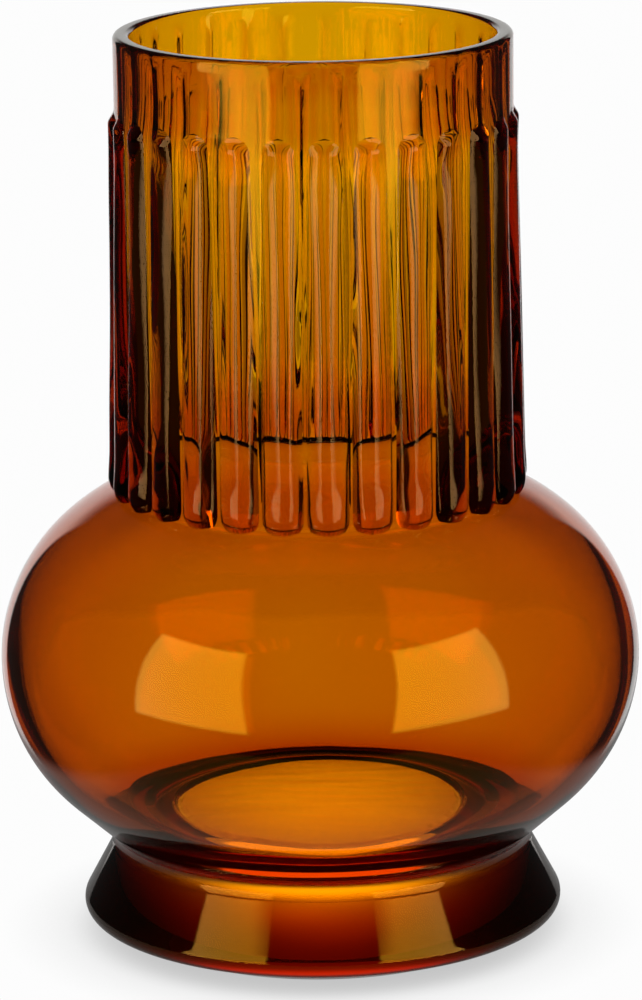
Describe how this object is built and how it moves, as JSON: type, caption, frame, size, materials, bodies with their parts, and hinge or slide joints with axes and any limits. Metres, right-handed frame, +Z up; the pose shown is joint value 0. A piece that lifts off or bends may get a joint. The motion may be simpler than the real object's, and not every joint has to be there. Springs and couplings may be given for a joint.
{
  "type": "reeded glass vase",
  "caption": "Amber art glass vase: straight wide neck ringed with upright rounded reeds, round bowl, narrow waist and spreading hollow foot.",
  "frame": {"origin": "on the table plane, under the middle of the foot", "axes": "+Z up along the axis of the vase; -Y is the side that is seen from the front; +X to the right from there"},
  "size_m": [0.211, 0.211, 0.3],
  "materials": {
    "neck_glass": "fire-polished clear amber",
    "bowl_glass": "fire-polished clear amber, faintly wavy",
    "reed_glass": "fire-polished clear amber",
    "pad_glass": "streaky golden amber",
    "foot_glass": "thick deep amber, fire-polished"
  },
  "bodies": {
    "root": {"neck": "neck_glass", "bowl": "bowl_glass", "base_pad": "pad_glass", "merese": "foot_glass", "foot": "foot_glass", "reed_01": "reed_glass", "reed_02": "reed_glass", "reed_03": "reed_glass", "reed_04": "reed_glass", "reed_05": "reed_glass", "reed_06": "reed_glass", "reed_07": "reed_glass", "reed_08": "reed_glass", "reed_09": "reed_glass", "reed_10": "reed_glass", "reed_11": "reed_glass", "reed_12": "reed_glass", "reed_13": "reed_glass", "reed_14": "reed_glass", "reed_15": "reed_glass", "reed_16": "reed_glass", "reed_17": "reed_glass", "reed_18": "reed_glass", "reed_19": "reed_glass", "reed_20": "reed_glass", "reed_21": "reed_glass", "reed_22": "reed_glass", "reed_23": "reed_glass", "reed_24": "reed_glass", "reed_25": "reed_glass", "reed_26": "reed_glass", "reed_27": "reed_glass", "reed_28": "reed_glass"}
  },
  "joints": []
}
